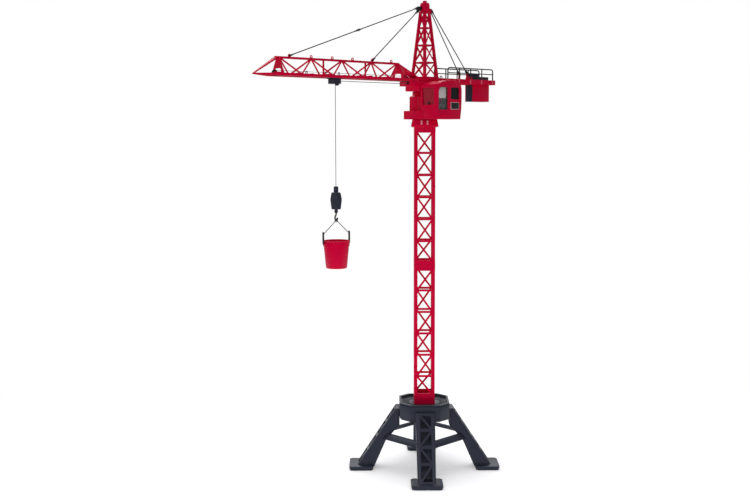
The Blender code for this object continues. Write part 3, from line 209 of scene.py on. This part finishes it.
FINISHES = {
    "crimson_plastic": CRIMSON,
    "charcoal_plastic": CHARCOAL,
    "black_plastic": BLACK,
    "clear_plastic": CLEAR,
    "ivory_plastic": IVORY,
    "steel": STEEL,
    "rope": ROPE,
}
SPECIAL = {"cab_rear_window": TINTED, "cab_front_window": SCREEN}
ROUND_STOCK = ("front_stay", "rear_stay", "railing", "hook", "bucket_bail")


def dress_cad_nodes():
    """Every CAD node takes its finish and, where its edges allow, a small moulded radius."""
    slots = {s["node"]: s["material_slot"] for s in frame["record"]["subparts"]}
    for name, obj in NODES.items():
        obj.data.materials.clear()
        obj.data.materials.append(SPECIAL.get(name, FINISHES[slots[name]]))
        weld = obj.modifiers.new("Weld", "WELD")
        weld.merge_threshold = 0.00001
        flat = obj.modifiers.new("Flat", "DECIMATE")
        flat.decimate_type = "DISSOLVE"
        flat.angle_limit = math.radians(0.3)
        radius = EDGE_RADIUS.get(name, 0.0)
        if radius:
            bevel = obj.modifiers.new("Edges", "BEVEL")
            bevel.width = radius
            bevel.segments = 3
            bevel.limit_method = "ANGLE"
            bevel.angle_limit = math.radians(32)
            bevel.harden_normals = False
        obj.data.shade_smooth()
        smooth_by_angle(obj, 50 if name.startswith(ROUND_STOCK) else 34)


def smooth_by_angle(obj, degrees):
    """Edges flatter than this stay shaded round."""
    split = obj.modifiers.new("Sharp", "EDGE_SPLIT")
    split.split_angle = math.radians(degrees)
    split.use_edge_sharp = False


EDGE_RADIUS = {
    "base_hub": 0.0010, "hub_top_plate": 0.0006, "hub_bottom_cover": 0.0006, "mast_collar": 0.0006,
    "slew_platform": 0.0012, "head_housing_near": 0.0010, "head_housing_far": 0.0010,
    "winch_housing": 0.0008, "cab_shell": 0.0012, "cab_floor": 0.0004, "cab_seat": 0.0015,
    "ballast_block": 0.0010, "ballast_cover_near": 0.0008, "ballast_cover_far": 0.0008,
    "counter_jib_deck": 0.0006, "cathead_cap": 0.0005, "stay_lug_front": 0.0004,
    "trolley_frame": 0.0006, "hook_block": 0.0008, "mast_lower": 0.0006, "mast_upper": 0.0006,
    "cathead": 0.0004, "jib_truss": 0.0004, "railing_near": 0.0, "railing_far": 0.0,
}  # fmt: skip
for side in ("front", "right", "rear", "left"):
    EDGE_RADIUS[f"leg_{side}"] = 0.0009
for side in ("front_right", "rear_right", "rear_left", "front_left"):
    EDGE_RADIUS[f"brace_{side}"] = 0.0012

dress_cad_nodes()


# ---------------------------------------------------------------- shapes
AT_TOWER = Matrix.Translation((TOWER_X, 0, 0))
ON_BASE = AT_TOWER @ Matrix.Rotation(SLEW_AT_REST, 4, "Z")


def loft(rings, closed=False):
    """A surface skinned over rings of points, closed on itself or capped at its ends."""
    bm = bmesh.new()
    loops = [[bm.verts.new(point) for point in ring] for ring in rings]
    following = loops[1:] + (loops[:1] if closed else [])
    for here, there in zip(loops, following):
        for i in range(len(here)):
            j = (i + 1) % len(here)
            bm.faces.new((here[i], here[j], there[j], there[i]))
    if not closed:
        bm.faces.new(loops[0][::-1])
        bm.faces.new(loops[-1])
    bmesh.ops.recalc_face_normals(bm, faces=bm.faces)
    return bm


def block(low, high, radius=0.0004):
    """A box with round edges all round, between two opposite corners."""
    low, high = Vector(low), Vector(high)
    size, middle = high - low, (high + low) / 2
    bm = bmesh.new()
    bmesh.ops.create_cube(bm, size=1.0)
    for v in bm.verts:
        v.co = Vector((v.co.x * size.x, v.co.y * size.y, v.co.z * size.z)) + middle
    soft = min(radius, min(size) * 0.45)
    bmesh.ops.bevel(bm, geom=bm.edges[:], offset=soft, segments=2, affect="EDGES", profile=0.5)
    return bm


def on_axis(axis, a, b, along):
    return {"x": (along, a, b), "y": (a, along, b), "z": (a, b, along)}[axis]


def slab(outline, axis, low, high, radius=0.0):
    """An outline pushed along an axis, its two rims rounded."""
    bm = loft([[on_axis(axis, a, b, along) for a, b in outline] for along in (low, high)])
    if radius:
        bm.faces.ensure_lookup_table()
        rims = set(bm.faces[-1].edges) | set(bm.faces[-2].edges)
        bmesh.ops.bevel(bm, geom=list(rims), offset=radius, segments=2, affect="EDGES", profile=0.5)
    return bm


def turned(profile, centre, axis="z", sides=32, ring=False):
    """A solid of revolution. profile lists (radius, distance along the axis) from the centre."""
    rings = []
    for radius, along in profile:
        circle = []
        for k in range(sides):
            turn = math.tau * k / sides
            point = on_axis(axis, radius * math.cos(turn), radius * math.sin(turn), along)
            circle.append(Vector(centre) + Vector(point))
        rings.append(circle)
    return loft(rings, closed=ring)


def ring(centre, radius, wire, axis):
    """A round wire bent into a ring."""
    section = [
        (radius + wire * math.cos(math.tau * k / 10), wire * math.sin(math.tau * k / 10)) for k in range(10)
    ]
    return turned(section, centre, axis, ring=True)


def arc(centre, radius, start, end, steps):
    """Points along an arc, in degrees from start to end."""
    points = []
    for k in range(steps + 1):
        turn = math.radians(start + (end - start) * k / steps)
        points.append((centre[0] + radius * math.cos(turn), centre[1] + radius * math.sin(turn)))
    return points


def swept(path, section_at):
    """A skin along a path. section_at gives the section's points, as (side, other), at each station."""
    tangents = []
    for i in range(len(path)):
        before, after = path[max(i - 1, 0)], path[min(i + 1, len(path) - 1)]
        tangents.append((after - before).normalized())
    side = tangents[0].orthogonal().normalized()
    rings = []
    for i, (point, tangent) in enumerate(zip(path, tangents)):
        if i:
            side = tangents[i - 1].rotation_difference(tangent) @ side
        other = tangent.cross(side)
        rings.append([point + side * a + other * b for a, b in section_at(i)])
    return loft(rings)


def tube(path, radius, sides=12):
    """A round tube that follows a path of points."""
    circle = [
        (radius * math.cos(math.tau * k / sides), radius * math.sin(math.tau * k / sides))
        for k in range(sides)
    ]
    return swept([Vector(p) for p in path], lambda station: circle)


def evenly(path, step):
    """The same path with a point every step."""
    path = [Vector(p) for p in path]
    points = [path[0]]
    left = step
    for start, end in zip(path, path[1:]):
        run, length = end - start, (end - start).length
        while left <= length:
            points.append(start + run * (left / length))
            left += step
        left -= length
    if (points[-1] - path[-1]).length > step * 0.4:
        points.append(path[-1])
    return points


def laid(path, radius, lay):
    """A rope of three strands twisted round each other, one turn in the length lay."""
    stations, sides = 7, 12
    path = evenly(path, lay / stations)

    def section(station):
        twist = math.tau * station / stations
        points = []
        for k in range(sides):
            turn = math.tau * k / sides
            reach = radius * (0.80 + 0.20 * abs(math.cos(1.5 * turn)))
            points.append((reach * math.cos(turn + twist), reach * math.sin(turn + twist)))
        return points

    return swept(path, section)


def piece(name, material, solids, place=AT_TOWER, smooth=38):
    """One visible piece made of closed solids, set in the row frame."""
    mesh = bpy.data.meshes.new(name)
    whole = bmesh.new()
    for solid in solids:
        part = bpy.data.meshes.new("part")
        solid.to_mesh(part)
        solid.free()
        whole.from_mesh(part)
        bpy.data.meshes.remove(part)
    whole.to_mesh(mesh)
    whole.free()
    mesh.transform(place)
    mesh.materials.append(material)
    mesh.shade_smooth()
    mesh.set_sharp_from_angle(angle=math.radians(smooth))
    obj = bpy.data.objects.new(name, mesh)
    bpy.context.scene.collection.objects.link(obj)
    return obj


def riding(name, material, solids, body, place=AT_TOWER):
    """A piece that moves with one body."""
    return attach(piece(name, material, solids, place), body)


# ---------------------------------------------------------------- ropes
HOIST_RADIUS, HOIST_LAY = 0.00085, 0.0056
TROLLEY_ROPE_RADIUS, TROLLEY_LAY = 0.00060, 0.0044


def build_ropes():
    """Twisted ropes that stretch between the bodies they join, in place of the plain CAD ones."""
    wrap, sheave = 0.0053, (-0.1433, 0.9872)
    over = [(x, 0, z) for x, z in arc(sheave, wrap, 90, 180, 8)]
    rope = Matrix.Identity(4)
    drum, sheave_top = (0.1585, 0, 0.9922), (-0.1433, 0, 0.9922)
    strand = laid([drum, *over], HOIST_RADIUS, HOIST_LAY)
    run = piece("hoist_rope_run_laid", ROPE, [strand], rope, 80)
    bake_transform(run)
    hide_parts("hoist_rope_run")
    top, foot = (-0.1486, 0, 0.9872), (-0.1486, 0, 0.7458)
    strand = laid([top, foot], HOIST_RADIUS, HOIST_LAY)
    fall = piece("hoist_rope_fall_laid", ROPE, [strand], rope, 80)
    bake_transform(fall)
    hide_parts("hoist_rope_fall")

    pulley, loop_radius = (-0.3250, 1.0053), 0.0056
    loop = [(x, 0, z) for x, z in arc(pulley, loop_radius, 270, 90, 16)]
    start, turn_at = (-0.1508, 0, 0.9997), (-0.3100, 0, 0.9997)
    strand = laid([start, turn_at], TROLLEY_ROPE_RADIUS, TROLLEY_LAY)
    lower = piece("trolley_rope_outer_laid", ROPE, [strand], rope, 80)
    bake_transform(lower)
    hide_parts("trolley_rope_outer")
    lead = [(0.1000, 0.0062, 1.0109), (0.1395, 0.0065, 0.9920)]
    strand = laid([turn_at, *loop, *lead], TROLLEY_ROPE_RADIUS, TROLLEY_LAY)
    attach(piece("trolley_rope_return_laid", ROPE, [strand], rope, 80), "upper_works")
    start, window = (-0.1392, -0.0040, 0.9997), (0.0848, -0.0060, 0.9967)
    strand = laid([start, window], TROLLEY_ROPE_RADIUS, TROLLEY_LAY)
    inner = piece("trolley_rope_inner_laid", ROPE, [strand], rope, 80)
    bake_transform(inner)
    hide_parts("trolley_rope_inner")
    strand = laid([window, (0.1365, -0.0060, 0.9804)], TROLLEY_ROPE_RADIUS, TROLLEY_LAY)
    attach(piece("trolley_rope_lead_laid", ROPE, [strand], rope, 80), "upper_works")


DRUM_Z = 0.9862
DRUM_HALF = 0.0085  # of the width that the rope fills


def wound(name, x, radius, wire, turns, body):
    """Rope wound on a drum's core, as one coil in the tower's frame."""
    path, steps = [], turns * 16
    for k in range(steps + 1):
        turn = math.tau * k / 16
        across = -DRUM_HALF + 2 * DRUM_HALF * k / steps
        path.append((x + radius * math.cos(turn), across, DRUM_Z + radius * math.sin(turn)))
    riding(name, ROPE, [tube(path, wire, 8)], body)


# ---------------------------------------------------------------- base details
def build_base_details():
    """Fine ribs in the hub's dish."""
    ribs = []
    for k in range(40):
        turn = Matrix.Rotation(math.tau * k / 40, 4, "Z")
        rib = block((0.0400, -0.00035, 0.1725), (0.0570, 0.00035, 0.1735), 0.0002)
        bmesh.ops.transform(rib, matrix=turn, verts=rib.verts)
        ribs.append(rib)
    for radius in (0.0400, 0.0485, 0.0570):
        profile = [(radius - 0.0004, 0.1726), (radius + 0.0004, 0.1726),
                   (radius + 0.0003, 0.1734), (radius - 0.0003, 0.1734)]  # fmt: skip
        ribs.append(turned(profile, (0, 0, 0), "z", 64, ring=True))
    riding("hub_dish_ribs", CHARCOAL, ribs, "base", ON_BASE)


# ---------------------------------------------------------------- cab details
def gasket(outline, y, wire):
    """A thin seal laid along a closed outline of (x, z) points on the cab's near side."""
    return [
        tube([(a[0], y, a[1]), (b[0], y, b[1])], wire, 8)
        for a, b in zip(outline, [*outline[1:], outline[0]])
    ]


def build_cab_details():
    near = -0.0860
    arch = [(-0.0363, 0.9280), *arc((-0.0233, 0.9705), 0.0130, 180, 90, 10),
            *arc((-0.0110, 0.9775), 0.0060, 90, 0, 6), (-0.0050, 0.9280)]  # fmt: skip
    rear = [(0.0069, 0.9536), (0.0069, 0.9825), (0.0351, 0.9825), (0.0351, 0.9536)]
    seals = [*gasket(arch, near + 0.0008, 0.0006), *gasket(rear, near + 0.0008, 0.0006)]
    riding("cab_window_seals", BLACK, seals, "upper_works")
    back = block((0.0062, near - 0.0004, 0.9287), (0.0350, near + 0.0004, 0.9460), 0.0002)
    riding("cab_panel_frame", PALE, [back], "upper_works")
    front = block((0.0071, near - 0.0007, 0.9296), (0.0341, near + 0.0001, 0.9451), 0.0002)
    riding("cab_panel", BLACK, [front], "upper_works")
    console = [
        block((-0.0370, -0.0820, 0.9085), (-0.0120, -0.0540, 0.9440), 0.0020),
        block((-0.0330, -0.0800, 0.9440), (-0.0290, -0.0760, 0.9560), 0.0010),
    ]
    riding("cab_console", BLACK, console, "upper_works")
    # A pale sheet behind the upper half of the side window: a painted reflection of the bright room on the glass.
    glare_sheet = block((-0.0350, -0.0812, 0.9560), (-0.0062, -0.0804, 0.9830), 0.0002)
    riding("cab_window_glare_sheet", PALE, [glare_sheet], "upper_works")
    wedge = [(-0.0590, 0.9402), (-0.0530, 0.9402), (-0.0560, 0.9480)]
    riding("windscreen_wiper", BLACK, [slab(wedge, "x", -0.0424, -0.0412)], "upper_works")


# ---------------------------------------------------------------- jib and deck details
def build_jib_details():
    guides, bars = [], []
    for along, y in ((0.3790, 0.0013), (0.2810, 0.0028)):
        low, high, half = 1.0058, 1.0124, 0.0026
        path = [(-along, y - half, low), (-along, y - half, high - 0.0010),
                (-along, y - half + 0.0010, high), (-along, y + half - 0.0010, high),
                (-along, y + half, high - 0.0010), (-along, y + half, low)]  # fmt: skip
        guides.append(tube(path, 0.0009, 8))
        bars.append(block((-along - 0.0013, -0.0240, 1.0048), (-along + 0.0013, 0.0240, 1.0062), 0.0003))
    riding("jib_rope_guides", BLACK, guides, "upper_works")
    riding("jib_guide_bars", CRIMSON, bars, "upper_works")
    eye = [ring((0.0590, 0, 1.0118), 0.0036, 0.0012, "y")]
    riding("deck_eye", BLACK, eye, "upper_works")
    plate = block((0.1626, -0.0118, 1.0087), (0.1638, 0.0118, 1.0160), 0.0003)
    riding("ballast_front_plate", CRIMSON, [plate], "upper_works")
    # The deck's side ribs are coloured a lighter pink crimson: a painted highlight.
    ribs = []
    for k in range(5):
        at = 0.0560 + 0.0425 * k
        for side in (-1, 1):
            y = sorted((side * 0.0264, side * 0.0270))
            ribs.append(block((at - 0.0018, y[0], 0.9972), (at + 0.0018, y[1], 1.0078), 0.0002))
    riding("deck_rib_edges", RIB_HIGHLIGHT, ribs, "upper_works")


def build_collar_details():
    """Two small raised plates on the collar's front, where the toy has its printed marks."""
    plates = []
    for at in (-0.0090, 0.0060):
        plates.append(block((at - 0.0022, -0.0335, 0.8915), (at + 0.0022, -0.0322, 0.8965), 0.0005))
        plates.append(block((at - 0.0022, -0.0328, 0.8975), (at + 0.0022, -0.0315, 0.9015), 0.0005))
    riding("collar_plates", FADED, plates, "base", ON_BASE)


build_ropes()
wound("hoist_rope_wound", 0.0125, 0.0058, 0.0007, 9, "hoist_drum")
wound("trolley_rope_wound", -0.0085, 0.0056, 0.0005, 12, "trolley_drum")
build_base_details()
build_cab_details()
build_jib_details()
build_collar_details()


# ---------------------------------------------------------------- floor, light and camera
VIEW_TURN = math.radians(-42)  # of the camera's heading from +Y


def floor():
    mesh = bpy.data.meshes.new("floor")
    sides = 96
    rim = [(FLOOR_RADIUS * math.cos(math.tau * k / sides), FLOOR_RADIUS * math.sin(math.tau * k / sides), 0)
           for k in range(sides)]  # fmt: skip
    mesh.from_pydata(rim, [], [tuple(range(sides))])
    obj = bpy.data.objects.new("floor", mesh)
    bpy.context.scene.collection.objects.link(obj)
    material = bpy.data.materials.new("pale_floor")
    tree, shader = node_tools(material)
    place = add(tree, "ShaderNodeTexCoord").outputs["Object"]
    cloud = noise(tree, place, 3.0, 2.0, 0.5)
    tree.links.new(tinted(tree, cloud, (0.86, 0.86, 0.88), (0.88, 0.88, 0.90)), shader.inputs["Base Color"])
    shader.inputs["Roughness"].default_value = 0.7
    shader.inputs["Specular IOR Level"].default_value = 0.2
    shader.inputs["Emission Color"].default_value = (1, 1, 1, 1)
    shader.inputs["Emission Strength"].default_value = FLOOR_GLOW
    obj.data.materials.append(material)


def soft_sun(name, strength, spread_angle, heading, height):
    """A broad light from far away. heading is measured from the camera, to its left."""
    lamp = bpy.data.lights.new(name, "SUN")
    lamp.energy = strength
    lamp.angle = math.radians(spread_angle)
    obj = bpy.data.objects.new(name, lamp)
    bpy.context.scene.collection.objects.link(obj)
    turn = VIEW_TURN - math.radians(heading)
    rise = math.radians(height)
    source = Vector((math.sin(turn) * math.cos(rise), -math.cos(turn) * math.cos(rise), math.sin(rise)))
    obj.rotation_euler = source.to_track_quat("Z", "Y").to_euler()


def soft_box(name, power, size, heading, distance, height, aim):
    """A rectangular lamp that stands near the crane and faces its tower axis at the height aim."""
    lamp = bpy.data.lights.new(name, "AREA")
    lamp.shape = "RECTANGLE"
    lamp.size, lamp.size_y = size
    lamp.energy = power
    obj = bpy.data.objects.new(name, lamp)
    bpy.context.scene.collection.objects.link(obj)
    turn = VIEW_TURN - math.radians(heading)
    place = Vector((TOWER_X + math.sin(turn) * distance, -math.cos(turn) * distance, height))
    obj.location = place
    obj.rotation_euler = (place - Vector((TOWER_X, 0, aim))).to_track_quat("Z", "Y").to_euler()


FLOOR_RADIUS = 1.5
FLOOR_GLOW = 0.30
AMBIENT = 0.20
SHEEN = 0.25  # more of the room in reflections


def studio():
    """A white room that the camera sees, with the light itself mostly from two broad sources."""
    world = bpy.data.worlds.new("studio")
    bpy.context.scene.world = world
    world.use_nodes = True
    tree = world.node_tree
    background = tree.nodes["Background"]
    background.inputs["Color"].default_value = (1.0, 1.0, 1.0, 1.0)
    rays = add(tree, "ShaderNodeLightPath")
    seen = spread(tree, rays.outputs["Is Camera Ray"], 0, 1, AMBIENT, 1.0)
    mirrored = spread(tree, rays.outputs["Is Glossy Ray"], 0, 1, 0.0, SHEEN)
    total = add(tree, "ShaderNodeMath", operation="ADD")
    tree.links.new(seen, total.inputs[0])
    tree.links.new(mirrored, total.inputs[1])
    tree.links.new(total.outputs[0], background.inputs["Strength"])
    soft_sun("top", 2.4, 100, 165, 66)
    soft_box("front", 5.2, (1.5, 0.8), 8, 1.6, 0.85, 0.40)
    bpy.context.scene.view_settings.view_transform = "Standard"


def camera():
    """The view of the photograph: a little above the jib's foot, looking slightly down."""
    data = bpy.data.cameras.new("camera")
    data.sensor_width = 36.0
    data.lens = 51.2
    obj = bpy.data.objects.new("camera", data)
    bpy.context.scene.collection.objects.link(obj)
    turn = Matrix.Rotation(VIEW_TURN, 4, "Z")
    place = turn @ Vector((-0.1268, -2.7271, 0.8702))
    pitch = Matrix.Rotation(math.radians(90) - 0.109, 4, "X")
    roll = Matrix.Rotation(-0.003, 4, "Z")
    obj.matrix_world = Matrix.Translation(Vector((TOWER_X, 0, 0)) + place) @ turn @ pitch @ roll
    bpy.context.scene.camera = obj


floor()
studio()
camera()
